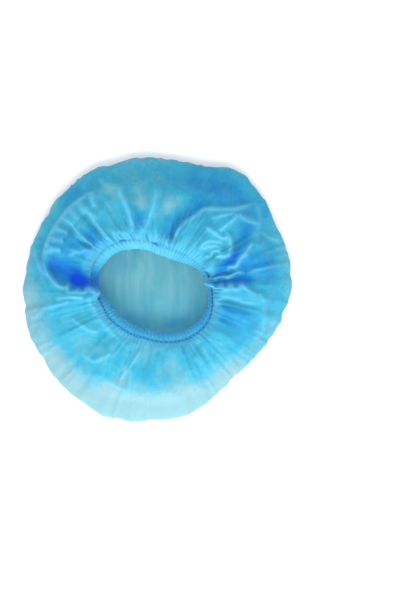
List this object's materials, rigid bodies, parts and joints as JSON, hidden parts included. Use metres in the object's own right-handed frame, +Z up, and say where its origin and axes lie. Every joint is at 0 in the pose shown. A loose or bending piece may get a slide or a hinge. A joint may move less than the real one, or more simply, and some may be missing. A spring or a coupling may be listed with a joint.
{
  "type": "disposable hairnet",
  "caption": "Round bouffant hairnet of thin blue non-woven cloth, gathered on an elastic ring with a ruffled hem, lying on its crown with the mouth up to take the hair.",
  "frame": {"origin": "on the surface that the cap lies on, under the middle of its outline", "axes": "+Z up, out of the mouth; +X along the mouth's long way, to the right of the picture; +Y to the top of the picture, the side with the long straight folds"},
  "size_m": [0.293, 0.2869, 0.0533],
  "materials": {
    "crown_cloth": "thin see-through spunbonded non-woven, soft sheen",
    "hem_cloth": "the same non-woven, finely ribbed by the gathers",
    "elastic": "covered elastic, matt"
  },
  "bodies": {
    "root": {"crown": "crown_cloth", "hem_ruffle": "hem_cloth", "elastic_band": "elastic"}
  },
  "joints": []
}
